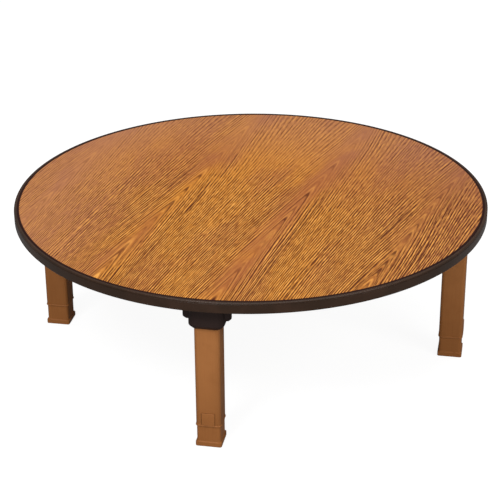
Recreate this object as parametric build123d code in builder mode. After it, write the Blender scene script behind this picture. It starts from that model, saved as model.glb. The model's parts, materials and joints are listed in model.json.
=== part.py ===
from build123d import *
import math
import os

# A low round folding table: a laminated board with a moulded edge, on four legs.
# Each leg swings inwards on a pin in a moulded bracket under the board, and a bowed
# leaf spring over the leg's head holds it upright or folded flat.
# The origin is the centre of the footprint on the floor, +Z up, in millimetres.
# One leg station is built on the +X side and then turned to its four places.

# Board
table_diameter = 800.0
table_height = 270.0
laminate_thickness = 0.8
core_thickness = 16.7
backing_thickness = 0.5

# Edge moulding
edge_thickness = 5.0
edge_top_bevel = 1.8
edge_bottom_bevel = 1.4
tongue_thickness = 2.6
tongue_depth = 8.0
groove_clearance = 0.1

# Leg
leg_inset = 49.0  # table edge to the leg's centre line
leg_width = 40.0
leg_corner = 6.0
leg_wall = 2.8
leg_core_bevel = 2.4
head_solid = 10.0  # material under the pivot, where the hollow ends
head_drop = 13.0  # pivot to where the head's flat sides give way to the rounded shaft
cam_lift = 1.4  # how far the head's inner corner stands out beyond the leg's faces

# Foot shoe
lip_proud = 0.8  # beyond the leg's faces
lip_height = 7.5
lip_corner = 2.4
shoe_inset = 0.9  # behind the leg's faces
shoe_corner = 5.0
shoe_wall = 2.6
shoe_web = 1.8
rib_proud = 0.9
rib_height = 3.2
rib_corner = 6.6
shoe_height = 39.5  # floor to the top of the rib, where the leg begins
plug_length = 22.0
plug_clearance = 0.2
tongue_plate_width = 21.5
tongue_plate_height = 21.0
tongue_plate_proud = 1.4
tongue_plate_sunk = 1.1
snap_width = 8.0
snap_height = 3.0
snap_drop = 6.0  # tongue's top to the middle of its snap
snap_depth = 1.4
pocket_clearance = 0.2

# Sole pad
pad_border = 3.8  # lip's edge to the pad
pad_thickness = 2.4
pad_proud = 0.6
pad_clearance = 0.1

# Hinge bracket
running_clearance = 0.4  # leg to cheeks and stop wall
cheek_thickness = 7.6
stop_wall = 7.6
side_lip = 9.7
end_lip = 7.0
flange_thickness = 4.6
flange_corner = 6.0
bracket_length = 80.0
plate_thickness = 2.4
housing_reach = 22.0  # pivot to the housing's sloping inner end, along the plate
housing_slope = 14.0
housing_slope_height = 25.0
housing_corner = 12.0
housing_rim = 6.8
pivot_cover = 18.3  # pivot to the housing's lower edge
lug_half = 6.0
lug_corner = 3.4
lug_offset = 11.4  # pivot to the lugs' middle, outwards
lug_cover = 6.2  # pivot to the lugs' lower ends
lug_core_depth = 24.0
lug_rim = 4.8
shell_wall = 2.6
channel_wall = 3.0
cheek_core_depth = 29.0
cheek_core_length = 26.0
pin_boss_width = 14.0

# Pivot rivets
rivet_diameter = 6.0
rivet_fit = 0.05  # radial, in the cheeks
bore_fit = 0.1  # radial, in the leg
rivet_head_diameter = 10.0
rivet_head_sides = 16
rivet_head_height = 1.6

# Leaf spring
spring_thickness = 0.8
spring_width = 24.0
spring_span = 43.0
spring_camber = 1.6
spring_offset = 4.0  # spring's middle to the pivot, towards the table's centre
spring_gap = 0.1
spring_tab = 1.9
slot_clearance = 0.2

# Bracket screws
screw_inset = 8.2  # flange edges to each screw
screw_head_diameter = 7.4
screw_sides = 6
screw_head_height = 2.4
screw_shank_diameter = 3.6
screw_bite = 10.0  # length in the board
screw_clearance = 0.4

# Where the main surfaces lie
top_z = table_height
core_top_z = top_z - laminate_thickness
core_bottom_z = core_top_z - core_thickness
underside_z = core_bottom_z - backing_thickness
plate_z = underside_z - plate_thickness
board_radius = table_diameter / 2 - edge_thickness
leg_radius = table_diameter / 2 - leg_inset
leg_half = leg_width / 2
head_top_z = plate_z - spring_camber - spring_thickness - spring_gap
pivot_z = head_top_z - leg_half
channel_half = leg_half + running_clearance
housing_half = channel_half + cheek_thickness
stop_face = leg_radius + channel_half
housing_front = stop_face + stop_wall
flange_half = housing_half + side_lip
flange_front = housing_front + end_lip
flange_back = flange_front - bracket_length
flange_bottom_z = underside_z - flange_thickness
housing_bottom_z = pivot_z - pivot_cover
lug_bottom_z = pivot_z - lug_cover
screw_spots = [
    (x, y)
    for x in (flange_back + screw_inset, flange_front - screw_inset)
    for y in (screw_inset - flange_half, flange_half - screw_inset)
]
stations = {"right": 0.0, "back": 90.0, "left": 180.0, "front": 270.0}


def side_plane(half_width):
    # The radial section plane, moved sideways by half a width.
    return Plane.XZ.offset(half_width)


# Board: core with its edge groove, laminate above, backing below
groove_half = tongue_thickness / 2 + groove_clearance
core_middle_z = (core_top_z + core_bottom_z) / 2

with BuildPart() as tabletop_core:
    with BuildSketch(Plane.XY.offset(core_bottom_z)):
        Circle(board_radius)
    extrude(amount=core_thickness)
    with BuildSketch(Plane.XY.offset(core_middle_z - groove_half)):
        Circle(board_radius)
        Circle(board_radius - tongue_depth - groove_clearance, mode=Mode.SUBTRACT)
    extrude(amount=2 * groove_half, mode=Mode.SUBTRACT)
tabletop_core.part.label = "tabletop_core"

with BuildPart() as top_laminate:
    with BuildSketch(Plane.XY.offset(core_top_z)):
        Circle(board_radius)
    extrude(amount=laminate_thickness)
top_laminate.part.label = "top_laminate"

with BuildPart() as underside_backing:
    with BuildSketch(Plane.XY.offset(underside_z)):
        Circle(board_radius)
    extrude(amount=backing_thickness)
underside_backing.part.label = "underside_backing"

# Edge moulding: a T-section, bevelled outside, with its tongue in the core's groove
with BuildPart() as edge_moulding:
    with BuildSketch(Plane.XZ) as edge_section:
        with Locations((board_radius, underside_z)):
            Rectangle(edge_thickness, top_z - underside_z, align=Align.MIN)
        outer_corners = edge_section.vertices().group_by(Axis.X)[-1].sort_by(Axis.Z)
        chamfer(outer_corners[0], edge_bottom_bevel)
        chamfer(outer_corners[1], edge_top_bevel)
        with Locations((board_radius, core_middle_z)):
            Rectangle(tongue_depth, tongue_thickness, align=(Align.MAX, Align.CENTER))
    revolve(axis=Axis.Z)
edge_moulding.part.label = "edge_moulding"

# Leg: a hollow rounded shaft under a flat-sided head. The head's outer shoulder is a
# quarter round, its top is flat, and its inner corner lies on a slightly larger radius
# about the pivot, which the spring rides over
cam_radius = leg_half + cam_lift
cam_flat = math.sqrt(cam_radius**2 - leg_half**2)
head_bottom_z = pivot_z - head_drop
leg_core_width = leg_width - 2 * leg_wall

with BuildPart() as leg:
    with BuildSketch(side_plane(leg_half)):
        with BuildLine():
            Line((leg_radius + leg_half, head_bottom_z), (leg_radius + leg_half, pivot_z))
            RadiusArc(
                (leg_radius + leg_half, pivot_z), (leg_radius, pivot_z + leg_half), -leg_half
            )
            Line((leg_radius, pivot_z + leg_half), (leg_radius - cam_flat, pivot_z + leg_half))
            RadiusArc(
                (leg_radius - cam_flat, pivot_z + leg_half),
                (leg_radius - leg_half, pivot_z + cam_flat),
                -cam_radius,
            )
            Line((leg_radius - leg_half, pivot_z + cam_flat), (leg_radius - leg_half, head_bottom_z))
            Line((leg_radius - leg_half, head_bottom_z), (leg_radius + leg_half, head_bottom_z))
        make_face()
    extrude(amount=-leg_width)
    with BuildSketch(Plane.XY.offset(shoe_height)):
        with Locations((leg_radius, 0)):
            RectangleRounded(leg_width, leg_width, leg_corner)
    extrude(amount=head_bottom_z - shoe_height)
    with BuildSketch(Plane.XY.offset(shoe_height)) as leg_core:
        with Locations((leg_radius, 0)):
            Rectangle(leg_core_width, leg_core_width)
        chamfer(leg_core.vertices(), leg_core_bevel)
    extrude(amount=pivot_z - head_solid - shoe_height, mode=Mode.SUBTRACT)
    with BuildSketch(side_plane(leg_half)):
        with Locations((leg_radius, pivot_z)):
            Circle(rivet_diameter / 2 + bore_fit)
    extrude(amount=-leg_width, mode=Mode.SUBTRACT)
    # Shallow seat for the shoe's tongue, with a window for its snap
    with BuildSketch(Plane.YZ.offset(leg_radius + leg_half)):
        with Locations((0, shoe_height)):
            Rectangle(
                tongue_plate_width + 2 * pocket_clearance,
                tongue_plate_height + pocket_clearance,
                align=(Align.CENTER, Align.MIN),
            )
    extrude(amount=-(tongue_plate_sunk + pocket_clearance / 2), mode=Mode.SUBTRACT)
    with BuildSketch(Plane.YZ.offset(leg_radius + leg_half)):
        with Locations((0, shoe_height + tongue_plate_height - snap_drop)):
            Rectangle(snap_width + 2 * pocket_clearance, snap_height + 2 * pocket_clearance)
    extrude(amount=-leg_wall, mode=Mode.SUBTRACT)

# Foot shoe: lip, waisted body, collar rib, plug into the hollow leg and a front tongue
sole_z = pad_proud
lip_top_z = sole_z + lip_height
rib_bottom_z = shoe_height - rib_height
lip_width = leg_width + 2 * lip_proud
shoe_width = leg_width - 2 * shoe_inset
rib_width = leg_width + 2 * rib_proud
plug_width = leg_core_width - 2 * plug_clearance
plug_core_width = plug_width - 2 * shoe_wall
pad_width = lip_width - 2 * pad_border
pad_seat_width = pad_width + 2 * pad_clearance

with BuildPart() as foot_shoe:
    with BuildSketch(Plane.XY.offset(sole_z)) as lip_section:
        with Locations((leg_radius, 0)):
            Rectangle(lip_width, lip_width)
        chamfer(lip_section.vertices(), lip_corner)
    extrude(amount=lip_height)
    with BuildSketch(Plane.XY.offset(lip_top_z)):
        with Locations((leg_radius, 0)):
            RectangleRounded(shoe_width, shoe_width, shoe_corner)
    extrude(amount=rib_bottom_z - lip_top_z)
    with BuildSketch(Plane.XY.offset(rib_bottom_z)):
        with Locations((leg_radius, 0)):
            RectangleRounded(rib_width, rib_width, rib_corner)
    extrude(amount=rib_height)
    with BuildSketch(Plane.XY.offset(shoe_height)) as plug_section:
        with Locations((leg_radius, 0)):
            Rectangle(plug_width, plug_width)
        chamfer(plug_section.vertices(), leg_core_bevel)
    extrude(amount=plug_length)
    # Tongue over the leg's outer face, rooted in the rib, with a snap behind it
    with BuildSketch(Plane.YZ.offset(leg_radius + leg_half - tongue_plate_sunk)):
        with Locations((0, rib_bottom_z + rib_height / 2)):
            Rectangle(
                tongue_plate_width, tongue_plate_height + rib_height / 2, align=(Align.CENTER, Align.MIN)
            )
    extrude(amount=tongue_plate_proud + tongue_plate_sunk)
    with BuildSketch(Plane.YZ.offset(leg_radius + leg_half - tongue_plate_sunk)):
        with Locations((0, shoe_height + tongue_plate_height - snap_drop)):
            Rectangle(snap_width, snap_height)
    extrude(amount=-snap_depth)
    # Hollow from below, in four cells, with a seat for the pad
    with BuildSketch(Plane.XY.offset(sole_z)):
        with Locations((leg_radius, 0)):
            Rectangle(plug_core_width, plug_core_width)
            Rectangle(plug_core_width, shoe_web, mode=Mode.SUBTRACT)
            Rectangle(shoe_web, plug_core_width, mode=Mode.SUBTRACT)
    extrude(amount=shoe_height + plug_length - shoe_wall - sole_z, mode=Mode.SUBTRACT)
    with BuildSketch(Plane.XY.offset(sole_z)):
        with Locations((leg_radius, 0)):
            Rectangle(pad_seat_width, pad_seat_width)
    extrude(amount=pad_thickness - sole_z, mode=Mode.SUBTRACT)

with BuildPart() as sole_pad:
    with BuildSketch():
        with Locations((leg_radius, 0)):
            Rectangle(pad_width, pad_width)
    extrude(amount=pad_thickness)
    chamfer(sole_pad.faces().sort_by(Axis.Z)[0].edges(), pad_proud / 2)

# Hinge bracket: a flange plate, a rounded housing under it with a channel for the leg
# that is open inwards and downwards, and a bracing lug on each side of the housing
flange_middle = flange_front - bracket_length / 2
cheek_core_width = housing_half - shell_wall - channel_half - channel_wall
cheek_core_middle = channel_half + channel_wall + cheek_core_width / 2
lug_x = leg_radius + lug_offset
lug_core_width = side_lip - shell_wall
lug_core_middle = housing_half + lug_core_width / 2
spring_middle = leg_radius - spring_offset
slot_pitch = spring_span - spring_thickness

with BuildPart() as hinge_bracket:
    with BuildSketch(side_plane(housing_half)):
        with BuildLine():
            Polyline(
                (housing_front, underside_z),
                (housing_front, housing_bottom_z),
                (leg_radius - housing_reach + housing_slope, housing_bottom_z),
                (leg_radius - housing_reach, housing_bottom_z + housing_slope_height),
                (leg_radius - housing_reach, underside_z),
                close=True,
            )
        make_face()
    extrude(amount=-2 * housing_half)
    fillet(hinge_bracket.edges().filter_by(Axis.Z).group_by(Axis.X)[-1], housing_corner)
    bowl_rim = hinge_bracket.faces().sort_by(Axis.Z)[0].edges().sort_by(Axis.X)[1:]
    chamfer(bowl_rim, housing_rim)
    # Lugs: both ends of one bar across the housing
    with BuildSketch(Plane.XY.offset(lug_bottom_z)) as lug_section:
        with Locations((lug_x, 0)):
            Rectangle(2 * lug_half, 2 * flange_half)
        chamfer(lug_section.vertices(), lug_corner)
    extrude(amount=underside_z - lug_bottom_z)
    lug_ends = hinge_bracket.edges().filter_by(
        lambda e: abs(e.center().Z - lug_bottom_z) < 0.01 and abs(e.center().Y) > housing_half
    )
    chamfer(lug_ends, lug_rim)
    with BuildSketch(Plane.XY.offset(flange_bottom_z)) as flange_section:
        with Locations((flange_middle, 0)):
            Rectangle(bracket_length, 2 * flange_half)
        chamfer(flange_section.vertices(), flange_corner)
    extrude(amount=flange_thickness)
    # Channel for the leg
    with BuildSketch(Plane.XY.offset(plate_z)):
        with Locations((stop_face, 0)):
            Rectangle(stop_face - flange_back, 2 * channel_half, align=(Align.MAX, Align.CENTER))
    extrude(amount=housing_bottom_z - plate_z, mode=Mode.SUBTRACT)
    # Narrow cores down the cheeks, each side of the rivet's boss
    with BuildSketch(Plane.XY.offset(underside_z)):
        with Locations((leg_radius, cheek_core_middle), (leg_radius, -cheek_core_middle)):
            Rectangle(cheek_core_length, cheek_core_width)
            Rectangle(pin_boss_width, cheek_core_width, mode=Mode.SUBTRACT)
    extrude(amount=-cheek_core_depth, mode=Mode.SUBTRACT)
    # Each lug is cored from above
    with BuildSketch(Plane.XY.offset(underside_z)):
        with Locations((lug_x, lug_core_middle), (lug_x, -lug_core_middle)):
            Rectangle(2 * (lug_half - shell_wall), lug_core_width)
    extrude(amount=-lug_core_depth, mode=Mode.SUBTRACT)
    # Rivet hole across both cheeks
    with BuildSketch(side_plane(housing_half)):
        with Locations((leg_radius, pivot_z)):
            Circle(rivet_diameter / 2 + rivet_fit)
    extrude(amount=-2 * housing_half, mode=Mode.SUBTRACT)
    # Screw holes through the flange
    with BuildSketch(Plane.XY.offset(flange_bottom_z)):
        with Locations(*screw_spots):
            RegularPolygon(screw_shank_diameter / 2 + screw_clearance, screw_sides)
    extrude(amount=flange_thickness, mode=Mode.SUBTRACT)
    # Slots that hold the leaf spring's turned-up ends
    with BuildSketch(Plane.XY.offset(underside_z)):
        with Locations((spring_middle - slot_pitch / 2, 0), (spring_middle + slot_pitch / 2, 0)):
            Rectangle(spring_thickness + 2 * slot_clearance, spring_width + 2 * slot_clearance)
    extrude(amount=-plate_thickness, mode=Mode.SUBTRACT)

# Leaf spring: a shallow bow under the plate, its ends turned up into the slots
spring_left = spring_middle - spring_span / 2
spring_right = spring_middle + spring_span / 2
spring_under_z = plate_z - spring_thickness

with BuildPart() as detent_spring:
    with BuildSketch(side_plane(spring_width / 2)):
        with BuildLine():
            ThreePointArc(
                (spring_left, plate_z),
                (spring_middle, plate_z - spring_camber),
                (spring_right, plate_z),
            )
            Line((spring_right, plate_z), (spring_right, spring_under_z))
            ThreePointArc(
                (spring_right, spring_under_z),
                (spring_middle, spring_under_z - spring_camber),
                (spring_left, spring_under_z),
            )
            Line((spring_left, spring_under_z), (spring_left, plate_z))
        make_face()
        with Locations((spring_left, spring_under_z)):
            Rectangle(spring_thickness, spring_thickness + spring_tab, align=Align.MIN)
        with Locations((spring_right, spring_under_z)):
            Rectangle(
                spring_thickness, spring_thickness + spring_tab, align=(Align.MAX, Align.MIN)
            )
    extrude(amount=-spring_width)

# Pivot rivet, headed on both cheeks
with BuildPart() as pivot_rivet:
    with BuildSketch(side_plane(housing_half)):
        with Locations((leg_radius, pivot_z)):
            Circle(rivet_diameter / 2)
    extrude(amount=-2 * housing_half)
    for side in (-1, 1):
        with BuildSketch(side_plane(side * housing_half)):
            with Locations((leg_radius, pivot_z)):
                RegularPolygon(rivet_head_diameter / 2, rivet_head_sides)
        extrude(amount=side * rivet_head_height)

# Bracket screws, heads under the flange, shanks in the board
with BuildPart() as bracket_screw:
    with BuildSketch(Plane.XY.offset(flange_bottom_z)):
        with Locations(*screw_spots):
            RegularPolygon(screw_head_diameter / 2, screw_sides)
    extrude(amount=-screw_head_height)
    with BuildSketch(Plane.XY.offset(flange_bottom_z)):
        with Locations(*screw_spots):
            RegularPolygon(screw_shank_diameter / 2, screw_sides)
    extrude(amount=core_bottom_z + screw_bite - flange_bottom_z)

# Every piece is written as its own file. Pieces of a station are turned to the four
# places, and the fasteners of all four go into one file of each kind
os.makedirs("parts", exist_ok=True)
for piece in (tabletop_core, top_laminate, underside_backing, edge_moulding):
    export_step(piece.part, f"parts/{piece.part.label}.step")

station_pieces = {
    "leg": leg,
    "foot_shoe": foot_shoe,
    "sole_pad": sole_pad,
    "hinge_bracket": hinge_bracket,
    "detent_spring": detent_spring,
}
for name, piece in station_pieces.items():
    for station, angle in stations.items():
        placed = piece.part.rotate(Axis.Z, angle)
        placed.label = f"{name}_{station}"
        export_step(placed, f"parts/{placed.label}.step")

for name, fastener in {"pivot_rivets": pivot_rivet, "bracket_screws": bracket_screw}.items():
    with BuildPart() as group:
        for angle in stations.values():
            add(fastener.part.rotate(Axis.Z, angle))
    group.part.label = name
    export_step(group.part, f"parts/{name}.step")
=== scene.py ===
import json
import math

import bmesh
import bpy
import numpy as np
from mathutils import Matrix, Vector


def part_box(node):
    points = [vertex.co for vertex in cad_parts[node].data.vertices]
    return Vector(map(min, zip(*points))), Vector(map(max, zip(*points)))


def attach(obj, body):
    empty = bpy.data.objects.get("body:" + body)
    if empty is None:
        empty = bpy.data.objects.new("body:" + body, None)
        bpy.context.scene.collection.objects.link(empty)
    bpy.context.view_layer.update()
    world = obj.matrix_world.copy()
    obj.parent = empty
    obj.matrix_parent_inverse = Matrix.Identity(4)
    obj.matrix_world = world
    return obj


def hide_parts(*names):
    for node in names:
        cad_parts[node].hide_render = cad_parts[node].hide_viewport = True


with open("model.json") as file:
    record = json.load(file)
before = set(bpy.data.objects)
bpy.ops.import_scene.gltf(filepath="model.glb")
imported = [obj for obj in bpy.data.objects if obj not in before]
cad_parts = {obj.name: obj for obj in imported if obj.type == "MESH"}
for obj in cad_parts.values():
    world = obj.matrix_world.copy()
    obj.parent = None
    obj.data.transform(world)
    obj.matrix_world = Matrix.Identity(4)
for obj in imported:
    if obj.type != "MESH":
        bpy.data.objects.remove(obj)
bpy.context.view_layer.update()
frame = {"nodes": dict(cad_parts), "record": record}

mm = 0.001
stations = {"right": 0, "back": 90, "left": 180, "front": 270}  # each leg's place, degrees round the top
legAt = 351.0  # the legs' middles from the table's middle, mm


def linear(red, green, blue):
    # an 8-bit screen colour as the linear colour that a shader works in
    channels = [c / 255 for c in (red, green, blue)]
    return tuple(c / 12.92 if c < 0.04045 else ((c + 0.055) / 1.055) ** 2.4 for c in channels) + (1.0,)


class Wire:
    # a shader socket that can stand in a formula: every operator adds one Math node
    def __init__(self, sheet, socket):
        self.sheet = sheet
        self.socket = socket

    def maths(self, operation, *values):
        return self.sheet.node("Math", {"operation": operation}, dict(enumerate(values)))

    def __add__(self, other):
        return self.maths("ADD", self, other)

    def __radd__(self, other):
        return self.maths("ADD", other, self)

    def __sub__(self, other):
        return self.maths("SUBTRACT", self, other)

    def __rsub__(self, other):
        return self.maths("SUBTRACT", other, self)

    def __mul__(self, other):
        return self.maths("MULTIPLY", self, other)

    def __rmul__(self, other):
        return self.maths("MULTIPLY", other, self)

    def __truediv__(self, other):
        return self.maths("DIVIDE", self, other)

    def __pow__(self, other):
        return self.maths("POWER", self, other)

    def fraction(self):
        return self.maths("FRACT", self)

    def least(self, other):
        return self.maths("MINIMUM", self, other)

    def step(self, low, high):
        # 0 below low, 1 above high, eased between them
        sockets = {"Value": self, "From Min": low, "From Max": high}
        return self.sheet.node("MapRange", {"interpolation_type": "SMOOTHSTEP"}, sockets)

    def band(self, start, full, fade, end):
        # 1 between full and fade, eased to 0 at start and end
        return self.step(start, full) * (1 - self.step(fade, end))


class Sheet:
    # one material and its nodes
    def __init__(self, name):
        self.material = bpy.data.materials.new(name)
        self.material.use_nodes = True
        self.tree = self.material.node_tree
        self.tree.nodes.clear()

    def node(self, kind, settings=None, sockets=None, output=0):
        # any node: its settings first, then a value or a link for each socket that is named
        made = self.tree.nodes.new("ShaderNode" + kind)
        for name, value in (settings or {}).items():
            setattr(made, name, value)
        for name, value in (sockets or {}).items():
            if isinstance(value, Wire):
                self.tree.links.new(value.socket, made.inputs[name])
            else:
                made.inputs[name].default_value = value
        return Wire(self, made.outputs[output]) if len(made.outputs) else None

    def place(self, turn=0.0):
        # Object coordinates, turned about Z
        point = self.node("TexCoord", output="Object")
        return self.node("Mapping", {"vector_type": "POINT"}, {"Vector": point, "Rotation": (0, 0, turn)})

    def parts(self, point):
        split = self.node("SeparateXYZ", sockets={"Vector": point})
        return [Wire(self, s) for s in split.socket.node.outputs]

    def vector(self, x, y, z=0.0):
        return self.node("CombineXYZ", sockets={"X": x, "Y": y, "Z": z})

    def noise(self, point, scale=1.0, detail=2.0, roughness=0.5):
        sockets = {"Vector": point, "Scale": scale, "Detail": detail, "Roughness": roughness}
        return self.node("TexNoise", sockets=sockets)

    def mix(self, factor, first, second):
        # first where the factor is 0, second where it is 1
        sockets = {0: factor, 6: first, 7: second}
        return self.node("Mix", {"data_type": "RGBA", "clamp_factor": True}, sockets, 2)

    def bump(self, height, distance, strength):
        sockets = {"Height": height, "Distance": distance, "Strength": strength}
        return self.node("Bump", sockets=sockets)

    def finish(self, **sockets):
        # the surface shader; an underscore in a socket's name stands for a space
        named = {name.replace("_", " "): value for name, value in sockets.items()}
        surface = self.node("BsdfPrincipled", sockets=named)
        self.node("OutputMaterial", sockets={"Surface": surface})
        return self.material


woodLook = {
    "grainTurn": math.radians(79.5),  # the grain's direction from +X
    "spread": 0.17,  # how much the fibres open away from the front, per metre
    "hearts": (-0.30, -0.088, 0.115, 0.33),  # where the flame figures' axes lie across the grain
    "heartWidth": 0.004,
    "heartTip": (0.007, 0.024),
    "heartCalm": (0.008, 0.048),
    "opening": 0.075,  # how fast the flames open towards the front
    "openingReach": (0.02, 0.10),
    "slowBend": 0.032,  # how far the grain wanders across the top
    "fineBend": 0.0022,
    "hairSpacing": 0.0046,
    "hairPush": 1.2,  # how many spacings a hairline is pushed aside
    "ringSpacing": 0.0082,
    "ringPush": 0.8,
    "ringReach": (0.02, 0.06),  # from a heart: full before the first, faint beyond the second
    "strong": (-0.12, 0.20),  # along the grain: full before the first, fainter beyond the second
    "strongFade": 0.65,
    "sheenSide": (-0.34, -0.12),  # across the room: a painted sheen towards the first, where the lines are calmer and the colour paler and less yellow
    # painted sheen: how much fainter the lines are at the left
    "sheenSideFade": 0.6,
    # noises: repeats a metre along the grain and across it, and then a depth for the five broad ones, or
    # repeats a metre sideways for those that follow the fibres
    "slowNoise": (1.6, 2.6, 3.1),
    "fineNoise": (9.0, 24.0, 7.7),
    "broadNoise": (2.4, 8.0, 5.0),
    "patchNoise": (5.0, 13.0, 9.0),
    "figureNoise": (3.0, 7.0, 14.0),
    "pushNoise": (2.5, 60.0, 9.0),
    "dashNoise": (42.0, 300.0, 20.0),
    "strandNoise": (7.0, 130.0, 12.0),
    "threadNoise": (30.0, 560.0, 30.0),
    "fleckNoise": (58.0, 640.0, 30.0),
    "vesselNoise": (75.0, 560.0, 30.0),
    "broadShare": 0.6,  # the rest of the zones comes from the patches
    # where a noise starts to count and where it counts in full
    "calmZone": (0.42, 0.58),
    "figureZone": (0.44, 0.6),
    "boldZone": (0.42, 0.56),
    "boldReach": (0.02, 0.035, 0.05, 0.07),
    "dashZone": (0.4, 0.6),
    "strandZone": (0.36, 0.6),
    "fleckZone": (0.5, 0.64),
    "poreZone": (0.54, 0.62),
    "russetZone": (0.44, 0.6),
    # painted shade: where it darkens towards the right
    "rightShadeReach": (0.1, 0.38),
    # painted sheen and shade: where it shows towards the far end
    "farSheenAndShade": (0.05, 0.4),
    # parts of one spacing that the dark and the pale line take up
    "darkHair": (0.0, 0.13, 0.35, 0.48),
    "paleHair": (0.46, 0.58, 0.72, 0.9),
    "darkRing": (0.22, 0.32, 0.36, 0.48),
    "paleRing": (0.5, 0.6, 0.66, 0.78),
    "darkGap": 0.4,  # what is left of a line between its dashes
    "paleGap": 0.3,
    # how strong each kind of line is, and how much is left of the lines in the quiet places
    "hairDark": 1.4,
    "hairPale": 0.8,
    "fleckDark": 0.3,
    "fleckPale": 0.36,
    "ringDark": 1.7,
    "ringPale": 0.7,
    "poreDark": 0.2,
    "calmHush": 0.7,
    "figureLift": 0.3,
    "tipLines": 0.55,
    "farRings": 0.3,
    "plainRings": 0.6,
    "boldRings": 0.6,
    "tipRings": 0.7,
    "mostPale": 0.9,
    "mostDark": 0.95,
    "russetShare": (0.8, 0.2),  # of the zones, of the calm hearts
    "rightShadeShare": 0.8,
    "sheenAndShadeShares": (0.55, 0.5),  # of the painted sheen at the left, of the painted shade and sheen at the far end
    "golden": linear(202, 127, 43),
    "russet": linear(172, 101, 52),
    # painted sheen and shade: the pinkish tone at the left and at the far end
    "sheenAndShade": linear(168, 115, 96),
    # painted shade: the darker tone towards the right
    "rightShade": linear(146, 84, 56),
    "straw": linear(250, 176, 84),
    "amber": linear(78, 25, 4),
    "pore": linear(44, 12, 2),
    "edge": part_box("top_laminate")[1].x,
    # painted shade in the joint: a dark line on the sheet beside the moulding, its width, the share over
    # which it darkens, and its tone
    "jointShadeWidth": 0.0046,
    "edgeSoft": 0.7,  # the share of the line over which it darkens
    "jointShadeTone": linear(38, 8, 4),
    "rough": 0.42,
    "threadRough": 0.08,
    "poreRough": 0.1,
    "specular": 0.12,
    "poreDepth": 0.00006,
    "poreStrength": 0.5,
}


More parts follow.
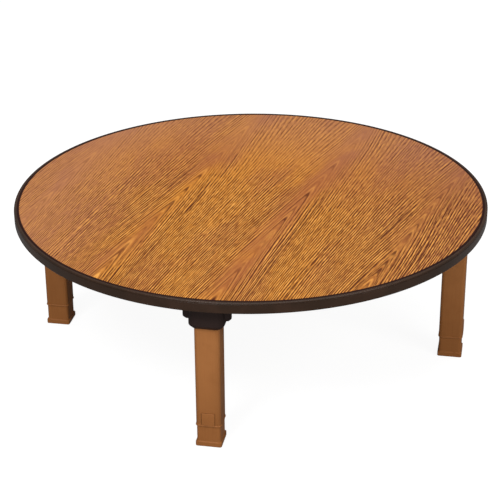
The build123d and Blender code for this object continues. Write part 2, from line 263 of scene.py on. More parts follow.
def woodLaminate(look):
    sheet = Sheet("woodLaminate")
    along, across, _ = sheet.parts(sheet.place(-look["grainTurn"]))

    def layer(name, detail, side):
        # a noise over the grain's plane, at its own depth
        onward, sideways, depth = look[name]
        return sheet.noise(sheet.vector(along * onward, side * sideways, depth), detail=detail)

    def drawn(name, detail):
        # a noise that follows the fibres
        onward, sideways, third = look[name]
        return sheet.noise(sheet.vector(along * onward, fibre * sideways, side * third), detail=detail)

    # the grain opens and wanders: a slow and a fine noise move each point sideways
    slow = layer("slowNoise", 1.0, across) - 0.5
    fine = layer("fineNoise", 1.0, across) - 0.5
    side = across * (1 - along * look["spread"]) + slow * look["slowBend"] + fine * look["fineBend"]
    # fibres lie on lines of equal r + opening * along, r being the distance to the nearest heart
    reach = None
    for heart in look["hearts"]:
        apart = ((side - heart) * (side - heart) + look["heartWidth"] ** 2) ** 0.5
        reach = apart if reach is None else reach.least(apart)
    near = 1 - reach.step(*look["openingReach"])
    fibre = reach + along * near * look["opening"]
    # two noises say where a heart is calm and russet, and where the lines between them are bold
    patch = layer("patchNoise", 2.0, side)
    mixed = layer("broadNoise", 2.0, side) * look["broadShare"] + patch * (1 - look["broadShare"])
    calm = (1 - reach.step(*look["heartCalm"])) * mixed.step(*look["calmZone"])
    figure = layer("figureNoise", 1.0, side).step(*look["figureZone"])
    bold = reach.band(*look["boldReach"]) * patch.step(*look["boldZone"])
    # hairlines and wider rings: evenly spaced lines that a noise pushes together and apart, each a dark
    # line with a pale one beside it; the hairlines are broken up into dashes, the rings belong to the hearts
    push = drawn("pushNoise", 1.0)
    hair = (fibre / look["hairSpacing"] + push * look["hairPush"]).fraction()
    dash = drawn("dashNoise", 0.0).step(*look["dashZone"])
    darkHair = hair.band(*look["darkHair"]) * (look["darkGap"] + dash * (1 - look["darkGap"]))
    paleHair = hair.band(*look["paleHair"]) * (look["paleGap"] + dash * (1 - look["paleGap"]))
    ring = (fibre / look["ringSpacing"] + push * look["ringPush"]).fraction()
    strand = drawn("strandNoise", 0.0).step(*look["strandZone"])
    darkRing = ring.band(*look["darkRing"]) * strand
    paleRing = ring.band(*look["paleRing"]) * strand
    rings = 1 - reach.step(*look["ringReach"])
    # threads, flecks and vessels: noises drawn out along the grain
    thread = drawn("threadNoise", 0.0)
    fleck = drawn("fleckNoise", 0.0)
    vessel = drawn("vesselNoise", 0.0)
    # lined and ringed say how strong hairlines and rings are: less at the far end, at the left where the
    # painted sheen washes them out, in the calm hearts and at the flames' tips
    x, y, _ = sheet.parts(sheet.place())
    # painted sheen: left is 1 at the left side, where the top is painted paler and its lines fainter
    left = 1 - x.step(*look["sheenSide"])
    strength = (1 - along.step(*look["strong"]) * look["strongFade"]) * (1 - left * look["sheenSideFade"])
    tip = reach.step(*look["heartTip"])
    hushed = 1 - calm * (look["calmHush"] - figure * look["figureLift"])
    lined = strength * hushed * (look["tipLines"] + tip * (1 - look["tipLines"]))
    far = look["farRings"] + rings * (1 - look["farRings"])
    weight = look["plainRings"] + bold * look["boldRings"]
    ringed = strength * far * weight * (look["tipRings"] + tip * (1 - look["tipRings"]))
    # zones of colour first, then painted shade towards the right and a painted sheen and shade towards the
    # left and the far end, then the pale lines, the dark lines and the pores
    zoned, calmed = look["russetShare"]
    reddened = mixed.step(*look["russetZone"]) * zoned + calm * calmed
    colour = sheet.mix(reddened, look["golden"], look["russet"])
    # painted shade: darker towards the right
    colour = sheet.mix(x.step(*look["rightShadeReach"]) * look["rightShadeShare"], colour, look["rightShade"])
    # painted sheen and shade: paler and pinker at the left and at the far end
    sided, ended = look["sheenAndShadeShares"]
    colour = sheet.mix(left * sided + along.step(*look["farSheenAndShade"]) * ended, colour, look["sheenAndShade"])
    paleFleck = fleck.step(*look["fleckZone"]) * look["fleckPale"]
    pale = (paleHair * look["hairPale"] + paleFleck) * lined + paleRing * ringed * look["ringPale"]
    colour = sheet.mix(pale.least(look["mostPale"]), colour, look["straw"])
    darkFleck = (1 - fleck).step(*look["fleckZone"]) * look["fleckDark"]
    dark = (darkHair * look["hairDark"] + darkFleck) * lined + darkRing * ringed * look["ringDark"]
    colour = sheet.mix(dark.least(look["mostDark"]), colour, look["amber"])
    pores = vessel.step(*look["poreZone"]) * lined
    colour = sheet.mix(pores * look["poreDark"], colour, look["pore"])
    # painted shade: the joint beside the moulding lies in shade, painted as a dark line on the sheet's edge
    start = look["edge"] - look["jointShadeWidth"]
    full = look["edge"] - look["jointShadeWidth"] * look["edgeSoft"]
    jointShade = ((x * x + y * y) ** 0.5).step(start, full)
    colour = sheet.mix(jointShade, colour, look["jointShadeTone"])
    return sheet.finish(
        Base_Color=colour,
        Roughness=look["rough"] + thread * look["threadRough"] + pores * look["poreRough"],
        Specular_IOR_Level=look["specular"],
        Normal=sheet.bump(1 - pores, look["poreDepth"], look["poreStrength"]),
    )


plasticLook = {
    "cloudSize": 14.0,
    "cloudZone": (0.35, 0.7),
    "cloudShare": 0.5,
    "cloudRough": 0.1,
    "sparkSize": 1400.0,  # the fine texture of a spark-eroded mould
    "scuffSize": 75.0,
    "scuffZone": (0.56, 0.75),
    "scuffShare": 0.25,
    "scuffPolish": 0.08,
    "scuffHeight": 0.2,
    "flowLines": (900.0, 900.0, 12.0),
    "flowZone": (0.5, 0.8),
    "footShadeFade": 0.2,  # the height at which the painted shade at the foot has faded out
    "depth": 0.00004,
    "strength": 0.6,
}
plastics = {
    "edge_plastic": {"name": "edgePlastic", "colour": linear(52, 36, 25), "wearAndShade": linear(72, 50, 38),
                     "rough": 0.3, "specular": 0.22, "flow": 0.0, "foot": 0.0},
    "bracket_plastic": {"name": "bracketPlastic", "colour": linear(40, 29, 27), "wearAndShade": linear(52, 38, 34),
                        "rough": 0.45, "specular": 0.14, "flow": 0.0, "foot": 0.0},
    # for the legs, foot mixes in the second tone as painted shade towards the floor
    "leg_plastic": {"name": "legPlastic", "colour": linear(177, 116, 66), "wearAndShade": linear(150, 94, 50),
                    "rough": 0.34, "specular": 0.12, "flow": 0.25, "foot": 0.6},
}


def mouldedPlastic(look, own):
    # a cloudy tone, a fine spark-eroded texture, scuffs that polish it, flow lines, and painted shade that
    # darkens it towards the foot
    sheet = Sheet(own["name"])
    point = sheet.place()
    cloud = sheet.noise(point, look["cloudSize"], 3.0, 0.6)
    texture = sheet.noise(point, look["sparkSize"], 2.0, 0.7)
    scuff = sheet.noise(point, look["scuffSize"], 4.0, 0.7).step(*look["scuffZone"])
    clouded = cloud.step(*look["cloudZone"]) * look["cloudShare"]
    tone = sheet.mix(clouded + scuff * look["scuffShare"], own["colour"], own["wearAndShade"])
    x, y, z = sheet.parts(point)
    wide, deep, high = look["flowLines"]
    lines = sheet.noise(sheet.vector(x * wide, y * deep, z * high), 1.0, 1.0)
    # painted shade: the legs darker towards the floor
    footShade = (1 - z.step(0.0, look["footShadeFade"])) * own["foot"]
    tone = sheet.mix(lines.step(*look["flowZone"]) * own["flow"] + footShade, tone, own["wearAndShade"])
    return sheet.finish(
        Base_Color=tone,
        Roughness=own["rough"] + cloud * look["cloudRough"] - scuff * look["scuffPolish"],
        Specular_IOR_Level=own["specular"],
        Normal=sheet.bump(texture + scuff * look["scuffHeight"], look["depth"], look["strength"]),
    )


boardLook = {
    "flakes": (500.0, 500.0, 2600.0),
    "flakeZone": (0.35, 0.7),
    "dark": linear(150, 118, 84),
    "pale": linear(186, 152, 112),
    "rough": 0.85,
    "flakeRough": 0.1,
    "depth": 0.0002,
    "strength": 0.6,
}


def fibreboard(look):
    # flat flakes: a noise that repeats faster through the board than along it
    sheet = Sheet("fibreboard")
    x, y, z = sheet.parts(sheet.place())
    wide, deep, high = look["flakes"]
    flakes = sheet.noise(sheet.vector(x * wide, y * deep, z * high), 1.0, 3.0, 0.7)
    return sheet.finish(
        Base_Color=sheet.mix(flakes.step(*look["flakeZone"]), look["dark"], look["pale"]),
        Roughness=look["rough"] + flakes * look["flakeRough"],
        Normal=sheet.bump(flakes, look["depth"], look["strength"]),
    )


backingLook = {
    "fibres": (60.0, 700.0),
    "fibreZone": (0.35, 0.7),
    "fibreShare": 0.7,
    "cloudSize": 9.0,
    "cloudShare": 0.3,
    "dark": linear(92, 68, 50),
    "pale": linear(122, 93, 70),
    "rough": 0.6,
    "cloudRough": 0.15,
    "specular": 0.25,
    "depth": 0.00005,
    "strength": 0.5,
}


def backingSheet(look, turn):
    # a plain brown sheet with faint fibres along the grain and a broad cloud
    sheet = Sheet("backingSheet")
    point = sheet.place(-turn)
    x, y, _ = sheet.parts(point)
    onward, sideways = look["fibres"]
    fibres = sheet.noise(sheet.vector(x * onward, y * sideways), 1.0, 3.0, 0.65)
    cloud = sheet.noise(point, look["cloudSize"], 3.0)
    share = fibres.step(*look["fibreZone"]) * look["fibreShare"] + cloud * look["cloudShare"]
    return sheet.finish(
        Base_Color=sheet.mix(share, look["dark"], look["pale"]),
        Roughness=look["rough"] + cloud * look["cloudRough"],
        Specular_IOR_Level=look["specular"],
        Normal=sheet.bump(fibres, look["depth"], look["strength"]),
    )


rubberLook = {
    "speckSize": 900.0,
    "dustSize": 60.0,
    "dustZone": (0.5, 0.8),
    "dustShare": 0.6,
    "clean": linear(34, 32, 31),
    "dusty": linear(74, 70, 66),
    "rough": 0.8,
    "dustRough": 0.1,
    "depth": 0.0001,
    "strength": 0.6,
}


def padRubber(look):
    # dark rubber with fine specks and patches of dust
    sheet = Sheet("padRubber")
    point = sheet.place()
    speck = sheet.noise(point, look["speckSize"], 3.0, 0.7)
    dust = sheet.noise(point, look["dustSize"], 4.0, 0.7).step(*look["dustZone"])
    return sheet.finish(
        Base_Color=sheet.mix(dust * look["dustShare"], look["clean"], look["dusty"]),
        Roughness=look["rough"] + dust * look["dustRough"],
        Normal=sheet.bump(speck, look["depth"], look["strength"]),
    )


steelLook = {
    "spotSize": 260.0,
    "spotZone": (0.52, 0.72),
    "spotShare": 0.7,
    "spotRough": 0.2,
    "lineShare": 0.2,
    "lineRough": 0.08,
    "depth": 0.00002,
    "strength": 0.5,
}
steels = {
    "spring_steel": {"name": "springSteel", "colour": linear(168, 170, 176), "dull": linear(120, 118, 120),
                     "rough": 0.28, "lines": 500},
    "rivet_steel": {"name": "rivetSteel", "colour": linear(196, 198, 202), "dull": linear(150, 150, 152),
                    "rough": 0.3, "lines": 900},
    "screw_steel": {"name": "screwSteel", "colour": linear(196, 190, 168), "dull": linear(150, 142, 120),
                    "rough": 0.32, "lines": 800},
}


def brightSteel(look, own):
    # plated steel: a fine texture and duller spots
    sheet = Sheet(own["name"])
    point = sheet.place()
    x, y, z = sheet.parts(point)
    fine = own["lines"]
    lines = sheet.noise(sheet.vector(x * fine, y * fine, z * fine), 1.0, 2.0, 0.6)
    spots = sheet.noise(point, look["spotSize"], 4.0, 0.65).step(*look["spotZone"])
    dulled = spots * look["spotShare"] + lines * look["lineShare"]
    return sheet.finish(
        Base_Color=sheet.mix(dulled, own["colour"], own["dull"]),
        Metallic=1.0,
        Roughness=own["rough"] + spots * look["spotRough"] + lines * look["lineRough"],
        Normal=sheet.bump(lines, look["depth"], look["strength"]),
    )


finishes = {
    "wood_laminate": woodLaminate(woodLook),
    "fibreboard": fibreboard(boardLook),
    "backing_paper": backingSheet(backingLook, woodLook["grainTurn"]),
    "pad_rubber": padRubber(rubberLook),
}
finishes.update({slot: mouldedPlastic(plasticLook, own) for slot, own in plastics.items()})
finishes.update({slot: brightSteel(steelLook, own) for slot, own in steels.items()})
print("finishes made:", len(finishes))


def dress(piece, slot, body=None, replaces=()):
    # gives a piece its finish, and a new piece also its body and the nodes that it stands for
    piece.data.materials.clear()
    piece.data.materials.append(finishes[slot])
    if body:
        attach(piece, body)
        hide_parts(*replaces)
    return piece


def pieceOf(name, mesh):
    # a smooth-shaded object in the scene, its place in its mesh
    mesh.polygons.foreach_set("use_smooth", np.ones(len(mesh.polygons), bool))
    mesh.update()
    piece = bpy.data.objects.new(name, mesh)
    bpy.context.scene.collection.objects.link(piece)
    return piece


def meshFrom(name, points, faces, sharp=35):
    # points and faces as a piece; edges that bend by more than sharp degrees stay sharp
    mesh = bpy.data.meshes.new(name)
    mesh.from_pydata(points.reshape(-1, 3), [], faces)
    piece = pieceOf(name, mesh)
    mesh.set_sharp_from_angle(angle=math.radians(sharp))
    return piece


def gridFaces(rows, columns, closed=False, start=0):
    # the quads of a grid whose columns run round; closed joins the last row to the first
    row = np.arange(rows if closed else rows - 1)[:, None]
    column = np.arange(columns)[None, :]
    after, beside = (row + 1) % rows, (column + 1) % columns
    near = [row * columns + column, row * columns + beside]
    far = [after * columns + beside, after * columns + column]
    return (np.stack(np.broadcast_arrays(*near, *far), -1).reshape(-1, 4) + start).tolist()


def tubeFaces(rows, columns, start=0):
    # the same quads, and one many-sided face over the first row and over the last
    first = np.arange(columns) + start
    last = first + (rows - 1) * columns
    return gridFaces(rows, columns, start=start) + [first[::-1].tolist(), last.tolist()]


def revolved(profile, count):
    # an outline of (radius, height) carried round Z: grid[row, turn]
    turn = np.linspace(0, 2 * math.pi, count, endpoint=False)[None, :]
    radius, height = np.asarray(profile, float).T[:, :, None]
    return np.stack([radius * np.cos(turn), radius * np.sin(turn), height + 0 * turn], -1)


def arc(centre, radius, start, end, count):
    # points (x, y) on a circle from one angle in degrees to another
    angle = np.radians(np.linspace(start, end, count))
    return np.stack([centre[0] + radius * np.cos(angle), centre[1] + radius * np.sin(angle)], -1)


def turned(points, degrees):
    # points turned about Z
    angle = math.radians(degrees)
    east, north = math.cos(angle), math.sin(angle)
    return points @ np.array([[east, north, 0], [-north, east, 0], [0, 0, 1]])


def welded(piece, apart=1e-6):
    # points that fall together become one, and flat faces keep flat shading
    form = bmesh.new()
    form.from_mesh(piece.data)
    bmesh.ops.remove_doubles(form, verts=form.verts, dist=apart)
    bmesh.ops.dissolve_degenerate(form, edges=form.edges, dist=apart / 10)
    form.to_mesh(piece.data)
    form.free()
    steady = piece.modifiers.new("steadyNormals", "WEIGHTED_NORMAL")
    steady.keep_sharp = True
    return piece


edge = {
    "topRound": 1.9,
    "bottomRound": 1.5,
    "joint": 0.5,  # the round where the moulding meets the laminate
    "groove": 0.7,
    "grooveDrop": 3.1,  # from the top down to the groove's middle
    "tongueHeight": 2.6,
    "tongueDepth": 8.0,
    "turns": 360,
}


def edgeMoulding(look):
    # a closed T-shaped outline with rounded outer corners and a groove under the lip, carried round the board
    low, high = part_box("edge_moulding")
    coreLow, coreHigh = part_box("tabletop_core")
    outer = min(high.x, high.y, -low.x, -low.y) / mm
    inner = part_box("top_laminate")[1].x / mm
    bottom, top = low.z / mm, high.z / mm
    middle = (coreLow.z + coreHigh.z) / mm / 2
    tongueEnd = inner - look["tongueDepth"]
    half = look["tongueHeight"] / 2
    topRound, lowRound, joint = look["topRound"], look["bottomRound"], look["joint"]
    outline = np.concatenate([
        [(inner, bottom)],
        arc((outer - lowRound, bottom + lowRound), lowRound, -90, 0, 7),
        arc((outer, top - look["grooveDrop"]), look["groove"], 270, 90, 7),
        arc((outer - topRound, top - topRound), topRound, 0, 90, 9),
        arc((inner + joint, top - joint), joint, 90, 180, 4),
        [(inner, middle + half), (tongueEnd, middle + half)],
        [(tongueEnd, middle - half), (inner, middle - half)],
    ])
    grid = revolved(outline * mm, look["turns"])
    piece = meshFrom("edgeMoulding", grid, gridFaces(*grid.shape[:2], closed=True))
    return dress(piece, "edge_plastic", "table_top", ["edge_moulding"])


edgeMoulding(edge)
print("edge moulding made")

shoe = {
    "padSeat": (17.1, 0.8, 2.4),  # half width, corner, top of the recess
    "seatEdge": 0.2,
    "sole": 0.6,
    "lip": (20.8, 3.0, 8.1),
    "lipRound": 0.6,
    "flareTop": 9.6,
    "flareIn": 0.7,  # how far inside the lip the flare starts
    "flareHollow": 2.4,
    "body": (19.1, 5.0, 35.9),
    "ribRoot": 0.5,  # how far below the rib the body ends
    "rib": (20.9, 6.6),
    "ribTop": 39.5,
    "ribSpan": 80,  # degrees of its bow to each side
    "plug": (17.0, 2.4, 61.5),
    "plugEdge": 0.6,
    "tongue": (10.35, 38.8, 60.2),  # half width, root, top
    "tongueFaces": (18.7, 21.2),  # from the leg's middle line
    "tongueRound": 0.8,
    "sharp": 40,
}
quarters = [45, 135, 225, 315]  # the middles of the four corners, degrees


def carriedSquare(rows, steps=6):
    # rows of (half width, corner radius, height): grid[row, point] on rounded squares
    angle = np.radians(np.concatenate([np.linspace(q - 45, q + 45, steps + 1) for q in quarters]))
    middle = np.repeat(np.radians(quarters), steps + 1)
    half, corner, height = np.asarray(rows, float).T[:, :, None]
    x = np.sign(np.cos(middle)) * (half - corner) + corner * np.cos(angle)
    y = np.sign(np.sin(middle)) * (half - corner) + corner * np.sin(angle)
    return np.stack([x, y, height + 0 * x], -1)


def roundedBox(low, high, radius, steps=4):
    # a sphere's grid with its eight octants moved apart: corners and edges come out round
    low, high = np.asarray(low, float), np.asarray(high, float)
    turn = np.radians(np.concatenate([np.linspace(q - 45, q + 45, steps + 1) for q in quarters]))
    side = np.repeat(np.radians(quarters), steps + 1)
    below, above = np.linspace(-90, 0, steps + 1), np.linspace(0, 90, steps + 1)
    lift = np.radians(np.concatenate([below, above]))[:, None]
    rise = np.repeat([-1.0, 1.0], steps + 1)[:, None]
    ball = np.stack([np.cos(lift) * np.cos(turn), np.cos(lift) * np.sin(turn), np.sin(lift) + 0 * turn], -1)
    east, north = np.sign(np.cos(side)) + 0 * lift, np.sign(np.sin(side)) + 0 * lift
    octant = np.stack([east, north, rise + 0 * side], -1)
    return (low + high) / 2 + octant * ((high - low) / 2 - radius) + ball * radius


def footShoe(look, station, degrees):
    # a rounded square carried up a profile of rows, and the tongue on the leg's outer face
    seatHalf, seatCorner, seatTop = look["padSeat"]
    lipHalf, lipCorner, lipTop = look["lip"]
    bodyHalf, bodyCorner, bodyTop = look["body"]
    ribHalf, ribCorner = look["rib"]
    plugHalf, plugCorner, plugTop = look["plug"]
    sole, curve, ribTop = look["sole"], look["lipRound"], look["ribTop"]
    seatEdge, plugEdge = look["seatEdge"], look["plugEdge"]
    seat = [(seatHalf, seatCorner, seatTop), (seatHalf, seatCorner, sole + seatEdge),
            (seatHalf + seatEdge, seatCorner, sole)]
    foot = arc((lipHalf - curve, sole + curve), curve, -90, 0, 4)
    brow = arc((lipHalf - curve, lipTop - curve), curve, 0, 90, 4)
    lip = np.insert(np.concatenate([foot, brow]), 1, lipCorner, axis=1)
    # the flare: a hollow curve from the lip's top in to the body
    share = np.linspace(0, 1, 9)
    flareHalf = bodyHalf + (lipHalf - look["flareIn"] - bodyHalf) * (1 - share) ** look["flareHollow"]
    flareCorner = bodyCorner + (lipCorner - bodyCorner) * (1 - share) ** 2
    flare = np.stack([flareHalf, flareCorner, lipTop + (look["flareTop"] - lipTop) * share], -1)
    # the rib: part of an ellipse, its corners growing with its width
    bow = np.radians(np.linspace(-look["ribSpan"], look["ribSpan"], 11))
    ribOut = bodyHalf + (ribHalf - bodyHalf) * np.cos(bow)
    ribRound = bodyCorner + (ribCorner - bodyCorner) * np.cos(bow)
    ribUp = (bodyTop + ribTop) / 2 + (ribTop - bodyTop) / 2 * np.sin(bow)
    rib = np.stack([ribOut, ribRound, ribUp], -1)
    plug = [(plugHalf, plugCorner, ribTop), (plugHalf, plugCorner, plugTop - plugEdge),
            (plugHalf - plugEdge, plugCorner, plugTop)]
    rows = np.concatenate([seat, lip, flare, [(bodyHalf, bodyCorner, bodyTop - look["ribRoot"])], rib, plug])
    shell = carriedSquare(rows) + (legAt, 0, 0)
    width, root, top = look["tongue"]
    inside, outside = (legAt + face for face in look["tongueFaces"])
    tongue = roundedBox((inside, -width, root), (outside, width, top), look["tongueRound"])
    both = np.concatenate([shell.reshape(-1, 3), tongue.reshape(-1, 3)])
    faces = tubeFaces(*shell.shape[:2]) + tubeFaces(*tongue.shape[:2], start=shell.shape[0] * shell.shape[1])
    piece = welded(meshFrom(f"footShoe_{station}", turned(both * mm, degrees), faces, look["sharp"]))
    return dress(piece, "leg_plastic", f"{station}_leg", [f"foot_shoe_{station}"])


for station, degrees in stations.items():
    footShoe(shoe, station, degrees)
print("foot shoes made")

copyLook = {"apart": 1e-6, "flat": math.radians(0.5)}  # points so near are merged, faces so flat joined
bracketLook = {
    "grain": 0.6 * mm,  # the size of the even mesh
    "share": 0.5,  # how far each point moves towards its neighbours' middle
    "passes": 14,
}
legLook = {"round": 0.35 * mm, "steps": 3, "angle": math.radians(32)}


def copied(look, nodeName, name):
    # the CAD form with its points merged and its flat faces joined
    form = bmesh.new()
    form.from_mesh(frame["nodes"][nodeName].data)
    bmesh.ops.remove_doubles(form, verts=form.verts, dist=look["apart"])
    bmesh.ops.dissolve_limit(form, angle_limit=look["flat"], verts=form.verts, edges=form.edges)
    mesh = bpy.data.meshes.new(name)
    form.to_mesh(mesh)
    form.free()
    return pieceOf(name, mesh)


def smoothed(piece, look):
    # remade as an even mesh and smoothed until its edges are as round as moulded ones
    even = piece.modifiers.new("evenMesh", "REMESH")
    even.mode = "VOXEL"
    even.voxel_size = look["grain"]
    even.use_smooth_shade = True
    smooth = piece.modifiers.new("roundEdges", "SMOOTH")
    smooth.factor = look["share"]
    smooth.iterations = look["passes"]
    return piece


def bevelled(piece, look):
    # a small round along every edge that bends by more than the angle
    bevel = piece.modifiers.new("roundEdges", "BEVEL")
    bevel.width = look["round"]
    bevel.segments = look["steps"]
    bevel.limit_method = "ANGLE"
    bevel.angle_limit = look["angle"]
    bevel.harden_normals = True
    return piece


for station in stations:
    bracket = copied(copyLook, f"hinge_bracket_{station}", f"hingeBracket_{station}")
    dress(smoothed(bracket, bracketLook), "bracket_plastic", "table_top", [f"hinge_bracket_{station}"])
    leg = copied(copyLook, f"leg_{station}", f"leg_{station}.soft")
    dress(bevelled(leg, legLook), "leg_plastic", f"{station}_leg", [f"leg_{station}"])
print("brackets and legs made")

screw = {
    "head": 3.7,
    "headHeight": 2.4,
    "headPower": 0.55,  # below 1 the pan head has steeper sides
    "shank": 1.8,
    "recessWidth": 0.62,
    "recessReach": 2.1,
    "recessDepth": 1.3,
    "recessEdge": (0.15, 0.3),  # how softly the cross ends beside and at the tip of an arm
    "rings": (0.06, 1, 15),  # from the head's middle to its edge
    "turns": 48,
    "apart": 9.0,  # two points nearer than this belong to one screw
    "sharp": 40,
}
rivet = {
    "shank": 3.0,
    "head": 4.9,
    "headHeight": 1.6,
    "headPower": 0.8,
    "bow": (4, 90, 8),  # degrees from the head's middle to its edge, and the points between
    "grip": 56.0,  # between the two heads
    "turns": 40,
    "sharp": 40,
}


def screwSpots(look):
    # the middles of the CAD screws: for each point of the lowest rings, the middle of all points near it
    vertices = frame["nodes"]["bracket_screws"].data.vertices
    flat = np.empty(len(vertices) * 3)
    vertices.foreach_get("co", flat)
    points = flat.reshape(-1, 3) / mm
    lowest = points[points[:, 2] < points[:, 2].min() + 0.01]
    gap = np.hypot(*(lowest[:, None, :2] - points[None, :, :2]).transpose(2, 0, 1))
    near = (gap < look["apart"])[:, :, None]
    least = np.where(near, points[:, :2], np.inf).min(1)
    most = np.where(near, points[:, :2], -np.inf).max(1)
    middles = (least + most) / 2
    first = np.unique(middles.round(3), axis=0, return_index=True)[1]
    return middles[np.sort(first)]


def bracketScrews(look):
    # pan heads: a dome with a cross pressed into it, a soft step over the nearer arm of the cross
    low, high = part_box("bracket_screws")
    shankLength = (high.z - low.z) / mm - look["headHeight"]
    seat = high.z / mm - shankLength
    ring = np.linspace(*look["rings"])[:, None] * math.pi / 2
    turn = np.linspace(0, 2 * math.pi, look["turns"], endpoint=False)[None, :]
    radius = look["head"] * np.sin(ring)
    x, y = radius * np.cos(turn), radius * np.sin(turn)
    dome = look["headHeight"] * np.cos(ring) ** look["headPower"] + 0 * turn
    narrow, wide = np.minimum(abs(x), abs(y)), np.maximum(abs(x), abs(y))
    beside, beyond = look["recessEdge"]
    arm = np.clip((look["recessWidth"] - narrow) / beside + 0.5, 0, 1)
    cross = arm * np.clip((look["recessReach"] - wide) / beyond, 0, 1)
    head = np.stack([x, y, -np.maximum(dome - look["recessDepth"] * cross, 0)], -1)
    neck = revolved([(look["shank"], 0.0), (look["shank"], shankLength)], look["turns"])
    one = np.concatenate([head, neck]) + (0, 0, seat)
    rows, columns = one.shape[:2]
    spots = np.insert(screwSpots(look), 2, 0, axis=1)
    points = one.reshape(1, -1, 3) + spots[:, None]
    faces = [face for k in range(len(spots)) for face in tubeFaces(rows, columns, k * rows * columns)]
    piece = meshFrom("bracketScrews", points * mm, faces, look["sharp"])
    return dress(piece, "screw_steel", "table_top", ["bracket_screws"])


def pivotRivets(look):
    # a domed head, the shank and the other head as one outline, turned about the pivot's line
    low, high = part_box("pivot_rivets")
    pivotZ = (low.z + high.z) / 2 / mm
    cheek = look["grip"] / 2
    bow = np.radians(np.linspace(*look["bow"]))
    rise = look["headHeight"] * np.cos(bow) ** look["headPower"]
    dome = np.stack([look["head"] * np.sin(bow), cheek + rise], -1)
    shank = [(look["shank"], cheek), (look["shank"], -cheek)]
    outline = np.concatenate([dome, shank, dome[::-1] * (1, -1)])[::-1]
    grid = revolved(outline, look["turns"])[:, :, [0, 2, 1]] * (1, -1, 1) + (legAt, 0, pivotZ)
    rows, columns = grid.shape[:2]
    points = np.concatenate([turned(grid.reshape(-1, 3), degrees) for degrees in stations.values()])
    faces = [face for k in range(len(stations)) for face in tubeFaces(rows, columns, k * rows * columns)]
    piece = meshFrom("pivotRivets", points * mm, faces, look["sharp"])
    return dress(piece, "rivet_steel", "table_top", ["pivot_rivets"])


bracketScrews(screw)
pivotRivets(rivet)
print("fasteners made")

# the CAD nodes that keep their shape get their finishes
keptSlots = {row["node"]: row["material_slot"] for row in frame["record"]["subparts"]}
for nodeName, slotName in keptSlots.items():
    node = frame["nodes"][nodeName]
    if not node.hide_render:
        dress(node, slotName)
print("CAD nodes dressed")

stageLook = {
    "floorSize": 14.0,
    "floorTone": 0.3,  # what the floor throws back at the table
    "shadowTone": 0.2,  # how strongly the camera sees light and shadow on it
    "seenTone": 0.92,  # what the camera sees of it before the lamps add to it
    "worldTone": 0.23,
}
lamps = {
    "keyLamp": {"place": (-0.9, -2.8, 3.1), "target": (0, 0, 0.15), "size": 1.0, "watts": 62},
    "lowLamp": {"place": (0.2, -3.4, 1.0), "target": (0, 0, 0.12), "size": 1.6, "watts": 26},
    "sideLamp": {"place": (2.9, -1.7, 2.3), "target": (0, 0, 0.15), "size": 1.6, "watts": 38},
    "topLamp": {"place": (0.2, 0.6, 3.4), "target": (0, 0, 0.25), "size": 2.4, "watts": 58},
}
shot = {
    "place": (0.4415, -2.3578, 1.3090),
    "heading": math.radians(-10.648),  # from +Y towards +X
    "dip": math.radians(25.462),
    "roll": math.radians(-0.395),
    "lens": 110.43,
    "sensor": 36.0,
    "clip": (0.05, 60),
}


def grey(tone):
    return (tone, tone, tone, 1)


def makeFloor(look):
    # a square at height 0: pale to the camera, darker to the table, and clear from below
    half = look["floorSize"] / 2
    corners = np.array([(-half, -half, 0), (half, -half, 0), (half, half, 0), (-half, half, 0)])
    floor = meshFrom("studioFloor", corners, [(0, 1, 2, 3)])
    sheet = Sheet("studioFloor")
    bounced = sheet.node("BsdfDiffuse", sockets={"Color": grey(look["floorTone"])})
    shaded = sheet.node("BsdfDiffuse", sockets={"Color": grey(look["shadowTone"])})
    glow = sheet.node("Emission", sockets={"Color": grey(1), "Strength": look["seenTone"]})
    pale = sheet.node("AddShader", sockets={0: shaded, 1: glow})
    seen = sheet.node("LightPath", output="Is Camera Ray")
    above = sheet.node("MixShader", sockets={0: seen, 1: bounced, 2: pale})
    below = sheet.node("NewGeometry", output="Backfacing")
    clear = sheet.node("BsdfTransparent")
    surface = sheet.node("MixShader", sockets={0: below, 1: above, 2: clear})
    sheet.node("OutputMaterial", sockets={"Surface": surface})
    floor.data.materials.append(sheet.material)


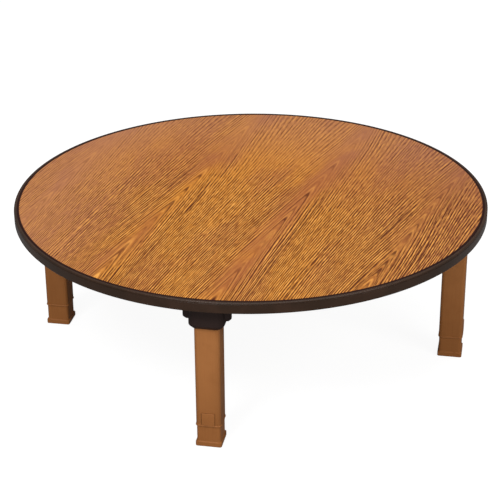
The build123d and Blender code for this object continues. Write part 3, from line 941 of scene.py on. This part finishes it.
def makeWorld(look):
    # white to the camera, and a soft even light for the table
    world = bpy.data.worlds.new("studioWorld")
    world.use_nodes = True
    tree = world.node_tree
    tree.nodes.clear()
    rays = tree.nodes.new("ShaderNodeLightPath")
    strength = tree.nodes.new("ShaderNodeMapRange")
    strength.inputs["To Min"].default_value = look["worldTone"]
    strength.inputs["To Max"].default_value = 1.0
    tree.links.new(rays.outputs["Is Camera Ray"], strength.inputs["Value"])
    background = tree.nodes.new("ShaderNodeBackground")
    background.inputs["Color"].default_value = grey(1)
    tree.links.new(strength.outputs[0], background.inputs["Strength"])
    output = tree.nodes.new("ShaderNodeOutputWorld")
    tree.links.new(background.outputs[0], output.inputs["Surface"])
    bpy.context.scene.world = world


def makeLamp(name, look):
    # a square lamp at its place, facing its target
    light = bpy.data.lights.new(name, "AREA")
    light.size = look["size"]
    light.energy = look["watts"]
    lamp = bpy.data.objects.new(name, light)
    lamp.location = look["place"]
    lamp.rotation_euler = (Vector(look["target"]) - Vector(look["place"])).to_track_quat("-Z", "Y").to_euler()
    bpy.context.scene.collection.objects.link(lamp)


def makeCamera(look):
    # looks along its heading, tipped down by dip, and turned about that line by roll
    heading, dip, roll = look["heading"], look["dip"], look["roll"]
    forward = Vector((math.sin(heading) * math.cos(dip), math.cos(heading) * math.cos(dip), -math.sin(dip)))
    level = Vector((math.cos(heading), -math.sin(heading), 0))
    upright = level.cross(forward)
    right = math.cos(roll) * level + math.sin(roll) * upright
    up = math.cos(roll) * upright - math.sin(roll) * level
    lens = bpy.data.cameras.new("studioCamera")
    lens.sensor_width = look["sensor"]
    lens.lens = look["lens"]
    lens.clip_start, lens.clip_end = look["clip"]
    camera = bpy.data.objects.new("studioCamera", lens)
    axes = Matrix((right, up, -forward)).transposed().to_4x4()
    camera.matrix_world = Matrix.Translation(look["place"]) @ axes
    bpy.context.scene.collection.objects.link(camera)
    bpy.context.scene.camera = camera


makeFloor(stageLook)
makeWorld(stageLook)
for lampName, lampLook in lamps.items():
    makeLamp(lampName, lampLook)
makeCamera(shot)
bpy.context.scene.view_settings.view_transform = "Standard"
print("stage, lamps and camera made")
